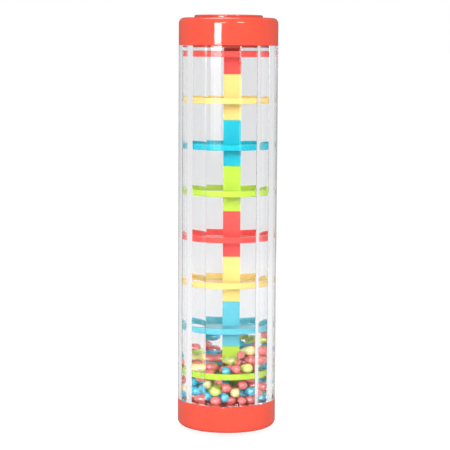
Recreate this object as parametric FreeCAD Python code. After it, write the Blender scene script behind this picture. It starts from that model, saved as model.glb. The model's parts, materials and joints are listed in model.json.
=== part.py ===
"""Clear rainstick: a toy shaker tube with stacked coloured levels and loose beads.

Millimetres, +Z up. The origin is the centre of the bottom cap's end face, on the tube's axis. The front is -Y.
Each node is one file in parts/.
"""
import FreeCAD, Part

import math
import os
import random

V = FreeCAD.Vector
UP = V(0, 0, 1)

# Whole stick
LENGTH = 203.0
OUTER_R = 24.2

# Caps: thin cups with a shallow raised disc on the end
CAP_BODY = 13.4
FOOT_H = 1.3
FOOT_R = 16.6
FOOT_EDGE = 0.6
CAP_H = CAP_BODY + FOOT_H
CAP_SHOULDER = 2.8
CAP_RIM_EDGE = 0.4
CAP_WALL = 2.0

# Tube: thick wall, round outside, sixteen facets inside that bulge slightly, and a neck at each end in the cap's skirt
FACETS = 16
FACET_TURN = 5.5
VERTEX_R = 20.2
FACET_BULGE = 0.3
FACET_R = VERTEX_R * math.cos(math.pi / FACETS) - FACET_BULGE
NECK_R = 21.3
NECK_L = 6.4
NECK_GAP = 0.05
TUBE_BOTTOM = CAP_H
TUBE_TOP = LENGTH - CAP_H

# Plugs: sealed plates inside the tube's ends
PLUG_R = FACET_R - 0.12
PLUG_PLATE = 1.6
PLUG_WALL = 1.4
PLUG_SKIRT = 6.0
FLOOR_Z = TUBE_BOTTOM - 0.9
CEILING_Z = TUBE_TOP - 1.0

# Levels: square hub with a slotted disc
LEVELS = 8
PITCH = 22.26
HUB_W = 7.9
HUB_EDGE = 0.3
POST_BOTTOM = TUBE_BOTTOM + 4.0
POST_TOP = POST_BOTTOM + LEVELS * PITCH
DISC_UP = 9.8
RING_R = 19.35
RING_W = 1.3
RING_H = 2.9
RING_EDGE = 0.35
WEB_R = 12.9
WEB_T = 1.0
WEB_RISE = 1.3
SPOKES = 5
SPOKE_TURN = 60.0
SPOKE_W = 2.2
SPOKE_H = 1.4
PEG_R = 2.3
PEG_H = 1.8
BORE_R = 2.35
BORE_H = 16.0
SOCKET_GAP = 0.1
SOCKET_WALL = 0.9

# Beads
BEAD_R = 2.3
BEAD_GAP = 0.04
LANE_R = (WEB_R + RING_R - RING_W) / 2
LANE_STEP = 18.0
LOWER_LIFT = 0.4
UPPER_LIFT = 1.5
PILE_MIDDLE = 39.5
PILE_RISE_X = 5.5
PILE_RISE_Y = 5.0
RAIN_BEADS = 12
GRID = 0.8
PILE_SEED = 8
LOWER_COLOUR_SEED = 415021
UPPER_COLOUR_SEED = 263179
COLOURS = ("red", "blue", "green", "yellow")
COLOUR_SHARE = (0.40, 0.22, 0.19, 0.19)


def ring_bottom(level):
    """Height of the underside of a disc's ring; level 1 is the highest."""
    return POST_TOP - level * PITCH + DISC_UP - RING_H / 2


def turned(profile):
    """Solid of revolution about Z from (radius, height) corners."""
    wire = Part.makePolygon([V(r, 0, z) for r, z in profile + profile[:1]])
    return Part.Face(wire).revolve(V(0, 0, 0), UP, 360)


def edges_at(shape, height, radius):
    """Circular edges of one radius lying at one height."""
    found = []
    for edge in shape.Edges:
        box = edge.BoundBox
        level = abs(box.ZMin - height) < 1e-4 and abs(box.ZMax - height) < 1e-4
        if level and abs(box.XMax - radius) < 1e-3:
            found.append(edge)
    return found


def polar(radius, degrees, height):
    a = math.radians(degrees)
    return V(radius * math.cos(a), radius * math.sin(a), height)


def faceted_prism(low, high):
    """The tube's bore: sixteen sides, each a shallow arc that bulges towards the axis."""
    step = 360.0 / FACETS
    sides = []
    for k in range(FACETS):
        middle = -90 + FACET_TURN + k * step
        first = polar(VERTEX_R, middle - step / 2, low)
        last = polar(VERTEX_R, middle + step / 2, low)
        sides.append(Part.Arc(first, polar(FACET_R, middle, low), last).toShape())
    return Part.Face(Part.Wire(sides)).extrude(UP * (high - low))


def square_prism(width, low, high):
    return Part.makeBox(width, width, high - low, V(-width / 2, -width / 2, low))


def flipped(shape):
    """The same shape turned over about the stick's middle, end for end."""
    turned_over = shape.copy()
    turned_over.rotate(V(0, 0, LENGTH / 2), V(1, 0, 0), 180)
    return turned_over


def make_cap():
    """Bottom cap: a cup whose skirt goes round the tube's neck, on a raised disc."""
    body = Part.makeCylinder(OUTER_R, CAP_BODY, V(0, 0, FOOT_H))
    body = body.makeFillet(CAP_SHOULDER, edges_at(body, FOOT_H, OUTER_R))
    body = body.makeFillet(CAP_RIM_EDGE, edges_at(body, CAP_H, OUTER_R))
    foot = Part.makeCylinder(FOOT_R, FOOT_H)
    foot = foot.makeFillet(FOOT_EDGE, edges_at(foot, 0, FOOT_R))
    seat = CAP_H - NECK_L - NECK_GAP
    mouth = Part.makeCylinder(NECK_R + NECK_GAP, CAP_H - seat, V(0, 0, seat))
    hollow = Part.makeCylinder(OUTER_R - CAP_WALL, seat - FOOT_H - CAP_WALL, V(0, 0, FOOT_H + CAP_WALL))
    return body.fuse(foot).cut(mouth.fuse(hollow)).removeSplitter()


def make_tube():
    body = Part.makeCylinder(OUTER_R, TUBE_TOP - TUBE_BOTTOM, V(0, 0, TUBE_BOTTOM))
    neck = Part.makeCylinder(NECK_R, TUBE_TOP - TUBE_BOTTOM + 2 * NECK_L, V(0, 0, TUBE_BOTTOM - NECK_L))
    bore = faceted_prism(TUBE_BOTTOM - NECK_L - 1, TUBE_TOP + NECK_L + 1)
    return body.fuse(neck).cut(bore).removeSplitter()


def plug_cup(face, outward):
    """Sealing plate with a wall running out towards the cap; outward is +1 at the top end, -1 at the bottom."""
    far = face + outward * PLUG_SKIRT
    inner = face + outward * PLUG_PLATE
    r = PLUG_R - PLUG_WALL
    return turned([(0, face), (PLUG_R, face), (PLUG_R, far), (r, far), (r, inner), (0, inner)])


def make_bottom_plug():
    """Floor of the bead chamber, with the square boss and peg that carry the post."""
    boss = square_prism(HUB_W, FLOOR_Z - PLUG_PLATE, POST_BOTTOM)
    peg = Part.makeCylinder(PEG_R, PEG_H, V(0, 0, POST_BOTTOM))
    return plug_cup(FLOOR_Z, -1).fuse([boss, peg]).removeSplitter()


def make_top_plug():
    """Ceiling of the tube, with the square socket that holds the post's upper end."""
    hole_w = HUB_W + 2 * SOCKET_GAP
    peg_top = POST_TOP + PEG_H + SOCKET_GAP
    tower = square_prism(hole_w + 2 * SOCKET_WALL, CEILING_Z, peg_top + SOCKET_WALL)
    socket = square_prism(hole_w, CEILING_Z - 1, POST_TOP)
    peg_hole = Part.makeCylinder(BORE_R, peg_top - POST_TOP + 1, V(0, 0, POST_TOP - 1))
    return plug_cup(CEILING_Z, 1).fuse(tower).cut(socket.fuse(peg_hole)).removeSplitter()


def make_hub(low):
    """Square hub with softened edges, a peg on top and a bore that takes the next peg."""
    hub = square_prism(HUB_W, low, low + PITCH)
    hub = hub.makeChamfer(HUB_EDGE, hub.Edges)
    peg = Part.makeCylinder(PEG_R, PEG_H + 1, V(0, 0, low + PITCH - 1))
    bore = Part.makeCylinder(BORE_R, BORE_H, V(0, 0, low))
    return hub.fuse(peg), bore


def make_disc(middle):
    """Outer ring, five spokes and a coned web that sheds the beads into the slots."""
    low = middle - RING_H / 2
    inner_r = RING_R - RING_W
    ring = Part.makeCylinder(RING_R, RING_H, V(0, 0, low))
    ring = ring.cut(Part.makeCylinder(inner_r, RING_H, V(0, 0, low)))
    ring = ring.makeFillet(RING_EDGE, [e for e in ring.Edges if len(e.Vertexes) == 1])
    top = low + WEB_RISE + WEB_T
    web = turned([(0, low + WEB_RISE), (WEB_R, low), (WEB_R, low + WEB_T), (0, top)])
    spokes = []
    for k in range(SPOKES):
        spoke = Part.makeBox(inner_r - WEB_R + 1.2, SPOKE_W, SPOKE_H, V(WEB_R - 0.6, -SPOKE_W / 2, low))
        spoke.rotate(V(0, 0, 0), UP, SPOKE_TURN + k * 360.0 / SPOKES)
        spokes.append(spoke)
    return ring.fuse([web] + spokes)


def make_level(level):
    low = POST_TOP - level * PITCH
    hub, bore = make_hub(low)
    return hub.fuse(make_disc(low + DISC_UP)).cut(bore).removeSplitter()


def lane_angles():
    """Directions of the straight vertical lanes through the slots, three to a slot."""
    angles = []
    for k in range(SPOKES):
        middle = SPOKE_TURN + (k + 0.5) * 360.0 / SPOKES
        angles += [middle - LANE_STEP, middle, middle + LANE_STEP]
    return angles


def lane_point(angle):
    a = math.radians(angle)
    return LANE_R * math.cos(a), LANE_R * math.sin(a)


def inside_bore(x, y):
    """True if a bead centred here clears the tube's facets and the square post."""
    room = FACET_R - BEAD_R - BEAD_GAP
    for k in range(FACETS):
        a = math.radians(-90 + FACET_TURN + k * 360.0 / FACETS)
        if x * math.cos(a) + y * math.sin(a) > room:
            return False
    dx = max(abs(x) - HUB_W / 2, 0)
    dy = max(abs(y) - HUB_W / 2, 0)
    return math.hypot(dx, dy) > BEAD_R + BEAD_GAP


def rest_on_disc(x, y):
    """Height of a bead's centre above a disc's underside when it lies on the disc."""
    r = math.hypot(x, y)
    inner_r = RING_R - RING_W
    slope = math.atan2(WEB_RISE, WEB_R)
    web = WEB_T + WEB_RISE * max(0.0, 1 - r / WEB_R) + BEAD_R / math.cos(slope)
    web = max(web, SPOKE_H + BEAD_R)
    if r >= inner_r:
        return RING_H + BEAD_R
    if inner_r - r < BEAD_R:
        return max(web, RING_H + math.sqrt(BEAD_R ** 2 - (inner_r - r) ** 2))
    return web


class Pile:
    """Beads dropped one by one, each at one of the lowest free places on a jittered grid."""

    def __init__(self, floor, ceiling, rng, extra=()):
        self.beads = []
        self.ceiling = ceiling
        self.rng = rng
        self.places = []
        steps = int(OUTER_R / GRID)
        for i in range(-steps, steps + 1):
            for j in range(-steps, steps + 1):
                x = (i + rng.uniform(-0.45, 0.45)) * GRID
                y = (j + rng.uniform(-0.45, 0.45)) * GRID
                if inside_bore(x, y):
                    self.places.append([x, y, floor(x, y)])
        self.places += [list(place) for place in extra]

    def settle(self, bead):
        """Raise every place near a bead to where a further bead would rest on it."""
        reach = 2 * BEAD_R + BEAD_GAP
        for place in self.places:
            gap2 = (place[0] - bead[0]) ** 2 + (place[1] - bead[1]) ** 2
            if gap2 < reach * reach:
                place[2] = max(place[2], bead[2] + math.sqrt(reach * reach - gap2))

    def fill(self):
        while True:
            free = [p for p in self.places if p[2] + BEAD_R <= self.ceiling(p[0], p[1])]
            if not free:
                return self.beads
            lowest = min(p[2] for p in free)
            close = [p for p in free if p[2] < lowest + 0.12]
            bead = tuple(self.rng.choice(close))
            self.beads.append(bead)
            self.settle(bead)


def make_piles(rng):
    """Bead centres in the lower chamber, the upper chamber and the rain beads lying on top."""
    disc = ring_bottom(LEVELS)
    low = Pile(
        lambda x, y: FLOOR_Z + BEAD_R + BEAD_GAP,
        lambda x, y: disc - LOWER_LIFT - BEAD_GAP,
        rng,
    )
    lower = low.fill()
    lanes = [lane_point(a) for a in lane_angles()]
    in_slots = []
    for x, y in lanes:
        rest = disc + BEAD_R - RING_H
        for bead in lower:
            gap2 = (x - bead[0]) ** 2 + (y - bead[1]) ** 2
            reach = 2 * BEAD_R + BEAD_GAP
            if gap2 < reach * reach:
                rest = max(rest, bead[2] + LOWER_LIFT + math.sqrt(reach * reach - gap2))
        in_slots.append((x, y, rest))
    high = Pile(
        lambda x, y: disc + rest_on_disc(x, y) + BEAD_GAP,
        pile_top,
        rng,
        in_slots,
    )
    upper = high.fill()
    rain = []
    for x, y in sorted(lanes, key=lambda lane: pile_top(*lane))[-RAIN_BEADS:]:
        rest = disc
        for bead in upper:
            gap2 = (x - bead[0]) ** 2 + (y - bead[1]) ** 2
            reach = 2 * BEAD_R + BEAD_GAP
            if gap2 < reach * reach:
                rest = max(rest, bead[2] + math.sqrt(reach * reach - gap2))
        rain.append((x, y, rest))
    return lower, upper, sorted(rain)


def pile_top(x, y):
    """Height of the upper pile's surface, which slopes up towards the back and towards +X."""
    slope = PILE_RISE_X * x / FACET_R + PILE_RISE_Y * y / FACET_R
    return min(PILE_MIDDLE + slope, ring_bottom(LEVELS - 1) - UPPER_LIFT - BEAD_GAP)


def bead(centre):
    return Part.makeSphere(BEAD_R, V(*centre))


def by_colour(centres, rng):
    """Bead centres shared out among the four colours."""
    groups = {colour: [] for colour in COLOURS}
    for centre in centres:
        groups[rng.choices(COLOURS, COLOUR_SHARE)[0]].append(centre)
    return groups


def save(name, shape):
    shape.exportStep("parts/" + name + ".step")
    print(name, "valid" if shape.isValid() else "INVALID", round(shape.Volume, 1), len(shape.Solids))


def main():
    os.makedirs("parts", exist_ok=True)
    bottom_cap = make_cap()
    save("bottom_cap", bottom_cap)
    save("top_cap", flipped(bottom_cap))
    save("bottom_plug", make_bottom_plug())
    save("top_plug", make_top_plug())
    save("tube", make_tube())
    for level in range(1, LEVELS + 1):
        save("level_%d" % level, make_level(level))
    lower, upper, rain = make_piles(random.Random(PILE_SEED))
    chambers = (("lower", lower, LOWER_COLOUR_SEED), ("upper", upper, UPPER_COLOUR_SEED))
    for chamber, centres, seed in chambers:
        for colour, group in by_colour(centres, random.Random(seed)).items():
            save("%s_beads_%s" % (chamber, colour), Part.makeCompound([bead(c) for c in group]))
    for number, centre in enumerate(rain, 1):
        save("rain_bead_%02d" % number, bead(centre))
        top = CEILING_Z - BEAD_R - 0.2
        print("  rain bead", number, "height", round(centre[2], 2), "room", round(top - centre[2], 2))


main()
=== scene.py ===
"""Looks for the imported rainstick: clear faceted tube, coral caps, coloured levels and glossy beads in a studio."""

import json
import math

import bpy
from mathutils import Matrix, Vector


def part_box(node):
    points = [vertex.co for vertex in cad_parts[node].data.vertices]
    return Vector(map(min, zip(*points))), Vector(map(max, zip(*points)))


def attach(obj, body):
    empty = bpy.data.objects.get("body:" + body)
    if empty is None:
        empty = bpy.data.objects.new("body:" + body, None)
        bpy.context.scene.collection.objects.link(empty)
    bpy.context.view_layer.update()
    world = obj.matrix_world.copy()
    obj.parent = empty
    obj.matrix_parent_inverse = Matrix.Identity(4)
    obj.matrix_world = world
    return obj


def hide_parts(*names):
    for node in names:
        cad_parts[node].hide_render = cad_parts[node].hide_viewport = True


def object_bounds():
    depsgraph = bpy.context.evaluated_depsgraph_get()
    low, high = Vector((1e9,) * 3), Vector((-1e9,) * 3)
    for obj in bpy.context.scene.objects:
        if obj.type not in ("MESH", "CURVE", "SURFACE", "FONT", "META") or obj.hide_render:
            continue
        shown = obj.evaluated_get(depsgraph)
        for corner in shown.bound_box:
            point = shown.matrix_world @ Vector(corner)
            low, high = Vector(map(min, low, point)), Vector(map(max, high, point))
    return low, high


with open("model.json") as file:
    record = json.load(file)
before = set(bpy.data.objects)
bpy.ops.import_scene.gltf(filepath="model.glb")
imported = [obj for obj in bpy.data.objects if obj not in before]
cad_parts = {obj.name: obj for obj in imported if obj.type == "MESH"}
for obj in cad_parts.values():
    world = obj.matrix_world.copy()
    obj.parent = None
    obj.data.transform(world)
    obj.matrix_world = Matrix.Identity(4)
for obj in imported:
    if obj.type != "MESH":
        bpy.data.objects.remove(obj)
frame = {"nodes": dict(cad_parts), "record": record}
cad_low, cad_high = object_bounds()

# Camera: level with the upper cap's rim, a long lens, tipped down towards the stick's middle
CAMERA_DISTANCE = 0.804
CAMERA_TIP = math.radians(6.23)
CAMERA_ROLL = math.radians(-0.34)
LENS = 131.5
SENSOR_WIDTH = 36.0
SHIFT_X = -0.0078
CLIP_START = 0.01

# Tube, in metres and radians: round outside, slightly bulging facets inside
OUTER_R = 0.0242
NECK_R = 0.0213
VERTEX_R = 0.0202
FACETS = 16
FACET_TURN = math.radians(5.5)
FACET_BULGE = 0.0003
FACET_STEPS = 24
RIM_GAP = 0.00005

# Plastics: colours are linear; spread is how far light travels under the surface, in metres
CAP_RGB = (0.65, 0.076, 0.046)
CAP_FINISH = {"roughness": 0.07, "subsurface": 0.1, "spread": 0.001}
LEVEL_RGB = {
    "red": (0.75, 0.062, 0.052),
    "yellow": (0.76, 0.56, 0.175),
    "blue": (0.001, 0.41, 0.52),
    "green": (0.40, 0.58, 0.042),
}
PALE_LEVEL = "level_7"
PALE_BLUE_RGB = (0.10, 0.43, 0.52)
LEVEL_FINISH = {"roughness": 0.10, "subsurface": 0.15, "spread": 0.002}
BEAD_RGB = {
    "red": (0.66, 0.118, 0.104),
    "yellow": (0.72, 0.64, 0.25),
    "blue": (0.02, 0.43, 0.60),
    "green": (0.56, 0.66, 0.125),
}
BEAD_FINISH = {"roughness": 0.16, "subsurface": 0.1, "spread": 0.001}
SUBSURFACE_RADIUS = (1.0, 0.8, 0.6)
MOULDED_IOR = 1.5
BEAD_IOR = 1.8
BEAD_COAT = {"Coat Weight": 1.0, "Coat IOR": 2.5, "Coat Roughness": 0.2}
CLEAR_RGB = (0.92, 0.922, 0.93)
CLEAR_IOR = 1.49
CLEAR_ROUGHNESS = 0.015

# Surface detail: colour shades as (place on the ramp, factor), the share by which gloss varies, ripple in metres
MOTTLE = ((0.15, 0.90), (0.55, 1.0), (0.90, 1.07))
GLOSS_SWING = 0.15
RIPPLE = 0.0002
WHITE = (1, 1, 1, 1)

# Studio: brightness as (seen by the lens, seen through the tube, lighting matt surfaces, mirrored)
FLOOR_HALF = 40.0
FLOOR_GLOW = (0.84, 0.78, 1.0, 0.05)
PAPER_GREYS = ((0.2, 0.19), (0.8, 0.21))
SURROUNDINGS = (1.0, 0.88, 0.98, 0.20)
ROOM_DIM = 0.28

# Softboxes: azimuth and elevation in degrees, distance, width and height in metres, radiance
KEY_LAMP = (-24.0, -2.3, 1.5, 0.42, 0.215, 30.0)
FRONT_LAMP = (-12.0, 8.0, 1.5, 0.30, 0.18, 50.0)
RIGHT_LAMP = (29.0, 14.0, 1.5, 0.37, 0.25, 16.0)
TOP_LAMP = (-150.0, 75.0, 1.3, 0.7, 0.7, 5.0)
BACK_LAMP = (160.0, 14.0, 0.65, 0.22, 0.18, 12.0)
KEY_FADE = ((0.0, 0.0), (0.22, 0.10), (0.64, 0.18), (0.74, 0.3), (0.82, 1.0))

# Enough bounces for a ray to pass both walls of the tube and everything inside
ALL_BOUNCES = 32
GLOSSY_BOUNCES = 16


def new_material(name):
    """Empty node material with its Principled shader wired to the output."""
    material = bpy.data.materials.new(name)
    material.use_nodes = True
    tree = material.node_tree
    tree.nodes.clear()
    output = tree.nodes.new("ShaderNodeOutputMaterial")
    shader = tree.nodes.new("ShaderNodeBsdfPrincipled")
    tree.links.new(shader.outputs[0], output.inputs[0])
    return material, tree, shader, output


def fill(node, values):
    """Set a node's unlinked inputs."""
    for key, value in values.items():
        node.inputs[key].default_value = value


def add(tree, kind, values, sources):
    """New node with its unlinked inputs filled in and its linked ones fed; gives its first output."""
    node = tree.nodes.new(kind)
    fill(node, values)
    for key, source in sources.items():
        tree.links.new(source, node.inputs[key])
    return node.outputs[0]


def object_coordinates(tree):
    return tree.nodes.new("ShaderNodeTexCoord").outputs["Object"]


def grey(level):
    return (level, level, level)


def shade(colour, factor):
    return tuple(min(1.0, c * factor) for c in colour)


def colour_ramp(tree, source, stops):
    """Colour ramp fed by source; stops are (place, colour) pairs."""
    ramp = tree.nodes.new("ShaderNodeValToRGB")
    elements = ramp.color_ramp.elements
    while len(elements) < len(stops):
        elements.new(0.5)
    for element, (place, colour) in zip(elements, stops):
        element.position = place
        element.color = (*colour, 1)
    tree.links.new(source, ramp.inputs[0])
    return ramp.outputs[0]


def noise(tree, scale, detail=3.0):
    return add(tree, "ShaderNodeTexNoise", {"Scale": scale, "Detail": detail}, {"Vector": object_coordinates(tree)})


def bump(tree, shader, height, strength):
    normal = add(tree, "ShaderNodeBump", {"Strength": strength, "Distance": RIPPLE}, {"Height": height})
    tree.links.new(normal, shader.inputs["Normal"])


def ranged(tree, source, low, high):
    """The source's 0 to 1 brought to low to high."""
    return add(tree, "ShaderNodeMapRange", {"To Min": low, "To Max": high}, {0: source})


def maths(tree, operation, source, other):
    """The source combined with a number or with another socket."""
    node = tree.nodes.new("ShaderNodeMath")
    node.operation = operation
    tree.links.new(source, node.inputs[0])
    if isinstance(other, float):
        node.inputs[1].default_value = other
    else:
        tree.links.new(other, node.inputs[1])
    return node.outputs[0]


def moulded_plastic(name, colour, finish, bead=False):
    """Moulded plastic: faint mottling, a slightly uneven gloss and a fine surface ripple.

    Each bead is one shade instead of mottled, and has a bright gloss of its own.
    """
    material, tree, shader, _ = new_material(name)
    if bead:
        source = tree.nodes.new("ShaderNodeNewGeometry").outputs["Random Per Island"]
    else:
        source = noise(tree, 45.0)
    stops = [(place, shade(colour, factor)) for place, factor in MOTTLE]
    tree.links.new(colour_ramp(tree, source, stops), shader.inputs["Base Color"])
    roughness = finish["roughness"]
    uneven = ranged(tree, noise(tree, 160.0), roughness * (1 - GLOSS_SWING), roughness * (1 + GLOSS_SWING))
    tree.links.new(uneven, shader.inputs["Roughness"])
    bump(tree, shader, noise(tree, 900.0, 2.0), 0.06)
    shader.inputs["IOR"].default_value = BEAD_IOR if bead else MOULDED_IOR
    if bead:
        fill(shader, BEAD_COAT)
    fill(shader, {
        "Subsurface Weight": finish["subsurface"],
        "Subsurface Radius": SUBSURFACE_RADIUS,
        "Subsurface Scale": finish["spread"],
    })
    return material


def clear_plastic(name):
    """Clear moulded plastic that bends what is seen through it and lets lamps through."""
    material, tree, shader, output = new_material(name)
    fill(shader, {"Base Color": (*CLEAR_RGB, 1), "Transmission Weight": 1.0, "IOR": CLEAR_IOR})
    tree.links.new(ranged(tree, noise(tree, 60.0), 0.0, CLEAR_ROUGHNESS), shader.inputs["Roughness"])
    bump(tree, shader, noise(tree, 40.0, 1.0), 0.01)
    path = tree.nodes.new("ShaderNodeLightPath")
    through = add(tree, "ShaderNodeBsdfTransparent", {"Color": WHITE}, {})
    sources = {0: path.outputs["Is Shadow Ray"], 1: shader.outputs[0], 2: through}
    tree.links.new(add(tree, "ShaderNodeMixShader", {}, sources), output.inputs[0])
    return material


def dress(node, material):
    """Give a CAD node one material in every slot."""
    item = frame["nodes"][node]
    if not item.material_slots:
        item.data.materials.append(material)
    for slot in item.material_slots:
        slot.material = material


def make_materials():
    """Material for every CAD node by its record slot; the tube's is made with the tube."""
    slots = {"cap_red": moulded_plastic("cap_red", CAP_RGB, CAP_FINISH)}
    for colour, rgb in LEVEL_RGB.items():
        slots["level_" + colour] = moulded_plastic("level_" + colour, rgb, LEVEL_FINISH)
    for colour, rgb in BEAD_RGB.items():
        slots["bead_" + colour] = moulded_plastic("bead_" + colour, rgb, BEAD_FINISH, True)
    for entry in frame["record"]["subparts"]:
        if entry["material_slot"] in slots:
            dress(entry["node"], slots[entry["material_slot"]])
    dress(PALE_LEVEL, moulded_plastic("level_pale_blue", PALE_BLUE_RGB, LEVEL_FINISH))


def bore_outline():
    """Directions and radii round the tube's bore: shallow arcs that bulge towards the axis."""
    half = math.pi / FACETS
    chord = VERTEX_R * math.sin(half)
    bow = (chord ** 2 + FACET_BULGE ** 2) / (2 * FACET_BULGE)
    centre = VERTEX_R * math.cos(half) - FACET_BULGE + bow
    directions, radii = [], []
    for facet in range(FACETS):
        for share in range(FACET_STEPS):
            off = (2.0 * share / FACET_STEPS - 1.0) * half
            directions.append(-math.pi / 2 + FACET_TURN + 2 * half * facet + off)
            radii.append(centre * math.cos(off) - math.sqrt(bow ** 2 - (centre * math.sin(off)) ** 2))
    return directions, radii


def make_tube():
    """The clear tube drawn finely, because what is seen through it shows every uneven face.

    Its end faces stand a hair off the caps' rims, and each neck is a sleeve of its own past that gap.
    """
    bottom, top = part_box("tube")[0].z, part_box("tube")[1].z
    rim_low, rim_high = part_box("bottom_cap")[1].z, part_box("top_cap")[0].z
    directions, bore = bore_outline()
    around = len(directions)
    points, faces, sharp = [], [], set()
    for low, high, radius in (
        (rim_low + RIM_GAP, rim_high - RIM_GAP, OUTER_R),
        (bottom, rim_low - RIM_GAP, NECK_R),
        (rim_high + RIM_GAP, top, NECK_R),
    ):
        first = len(points)
        outside = [radius] * around
        loops = ((low, bore), (low, outside), (high, outside), (high, bore))
        for z, radii in loops:
            points += [(r * math.cos(a), r * math.sin(a), z) for r, a in zip(radii, directions)]
        for loop in range(len(loops)):
            this, following = first + loop * around, first + (loop + 1) % len(loops) * around
            for i in range(around):
                j = (i + 1) % around
                faces.append((this + i, this + j, following + j, following + i))
                sharp.add(tuple(sorted((this + i, this + j))))
        last = first + (len(loops) - 1) * around
        sharp |= {(first + i, last + i) for i in range(0, around, FACET_STEPS)}
    mesh = bpy.data.meshes.new("clear_tube")
    mesh.from_pydata(points, [], faces)
    mesh.polygons.foreach_set("use_smooth", [True] * len(faces))
    for edge in mesh.edges:
        edge.use_edge_sharp = tuple(sorted(edge.vertices)) in sharp
    mesh.materials.append(clear_plastic("clear_tube"))
    tube = bpy.data.objects.new("clear_tube", mesh)
    bpy.context.scene.collection.objects.link(tube)
    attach(tube, "root")
    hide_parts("tube")


def make_camera():
    data = bpy.data.cameras.new("camera")
    data.sensor_width = SENSOR_WIDTH
    data.sensor_fit = "HORIZONTAL"
    data.lens = LENS
    data.shift_x = SHIFT_X
    data.clip_start = CLIP_START
    camera = bpy.data.objects.new("camera", data)
    camera.location = (0, -CAMERA_DISTANCE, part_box("top_cap")[0].z)
    camera.rotation_mode = "ZXY"
    camera.rotation_euler = (math.pi / 2 - CAMERA_TIP, CAMERA_ROLL, 0)
    bpy.context.scene.collection.objects.link(camera)
    bpy.context.scene.camera = camera


def softbox(name, azimuth, elevation, distance, width, height, radiance):
    """Rectangular lamp aimed at the top cap's rim. Azimuth runs from the stick's front towards +X."""
    data = bpy.data.lights.new(name, "AREA")
    data.shape = "RECTANGLE"
    data.size, data.size_y = width, height
    data.energy = radiance * math.pi * width * height
    aim = Vector((0, 0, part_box("top_cap")[0].z))
    turn, lift = math.radians(azimuth), math.radians(elevation)
    direction = Vector((math.sin(turn) * math.cos(lift), -math.cos(turn) * math.cos(lift), math.sin(lift)))
    light = bpy.data.objects.new(name, data)
    light.location = aim + direction * distance
    light.rotation_euler = direction.to_track_quat("Z", "Y").to_euler()
    bpy.context.scene.collection.objects.link(light)
    return light


def fade_upwards(light, steps):
    """Dim a lamp by height: steps are (place, share of the radiance), from 0 at its lower edge to 1 at its top."""
    light.data.use_nodes = True
    tree = light.data.node_tree
    parts = tree.nodes.new("ShaderNodeSeparateXYZ")
    tree.links.new(tree.nodes.new("ShaderNodeNewGeometry").outputs["Parametric"], parts.inputs[0])
    share = colour_ramp(tree, parts.outputs["Y"], [(place, grey(level)) for place, level in steps])
    tree.links.new(share, tree.nodes["Emission"].inputs["Strength"])


def by_ray(tree, place, seen, through, lit, mirrored):
    """Strength of a surrounding for each kind of ray.

    seen: straight from the lens. through: from the lens past the clear tube. lit: for light on matt surfaces.
    mirrored: in gloss. A reflection that ends in front, where place is negative along Y, finds the room darker.
    """
    path = tree.nodes.new("ShaderNodeLightPath")
    kinds = (
        (path.outputs["Is Glossy Ray"], mirrored),
        (path.outputs["Is Transmission Ray"], through),
        (maths(tree, "GREATER_THAN", path.outputs["Diffuse Depth"], 0.5), lit),
        (path.outputs["Is Camera Ray"], seen),
    )
    sources = {}
    for kind, level in kinds:
        sources["Factor"] = kind
        sources["A"] = add(tree, "ShaderNodeMix", {"A": lit, "B": level}, sources)
    parts = tree.nodes.new("ShaderNodeSeparateXYZ")
    tree.links.new(place, parts.inputs[0])
    in_front = maths(tree, "LESS_THAN", parts.outputs["Y"], 0.0)
    reflected = maths(tree, "GREATER_THAN", path.outputs["Glossy Depth"], 0.5)
    dim = ranged(tree, maths(tree, "MULTIPLY", in_front, reflected), 1.0, ROOM_DIM)
    return maths(tree, "MULTIPLY", sources["A"], dim)


def make_floor():
    """Seamless white paper, bright enough to leave no horizon."""
    material, tree, shader, _ = new_material("studio_floor")
    paper = colour_ramp(tree, noise(tree, 8.0), [(place, grey(level)) for place, level in PAPER_GREYS])
    tree.links.new(paper, shader.inputs["Base Color"])
    fill(shader, {"Roughness": 0.8, "Specular IOR Level": 0.0, "Emission Color": WHITE})
    tree.links.new(by_ray(tree, object_coordinates(tree), *FLOOR_GLOW), shader.inputs["Emission Strength"])
    mesh = bpy.data.meshes.new("floor")
    corners = [(sx * FLOOR_HALF, sy * FLOOR_HALF, cad_low.z) for sx, sy in ((-1, -1), (1, -1), (1, 1), (-1, 1))]
    mesh.from_pydata(corners, [], [(0, 1, 2, 3)])
    mesh.materials.append(material)
    floor = bpy.data.objects.new("floor", mesh)
    bpy.context.scene.collection.objects.link(floor)


def make_world():
    """White surroundings that light the stick evenly and show only dimly in its gloss."""
    world = bpy.data.worlds.new("studio")
    world.use_nodes = True
    tree = world.node_tree
    background = tree.nodes["Background"]
    background.inputs["Color"].default_value = WHITE
    direction = tree.nodes.new("ShaderNodeTexCoord").outputs["Generated"]
    tree.links.new(by_ray(tree, direction, *SURROUNDINGS), background.inputs["Strength"])
    bpy.context.scene.world = world


def make_lamps():
    """Softboxes round the stick. The one behind it lights matt surfaces only, so it never shows itself."""
    fade_upwards(softbox("key_softbox", *KEY_LAMP), KEY_FADE)
    softbox("front_softbox", *FRONT_LAMP)
    softbox("right_softbox", *RIGHT_LAMP)
    softbox("top_softbox", *TOP_LAMP)
    back = softbox("back_softbox", *BACK_LAMP)
    back.visible_camera = False
    back.visible_transmission = False
    back.visible_glossy = False


def set_scene():
    scene = bpy.context.scene
    scene.view_settings.view_transform = "Standard"
    scene.cycles.max_bounces = ALL_BOUNCES
    scene.cycles.glossy_bounces = GLOSSY_BOUNCES
    scene.cycles.transmission_bounces = ALL_BOUNCES


make_camera()
make_floor()
make_world()
make_lamps()
set_scene()
make_materials()
make_tube()
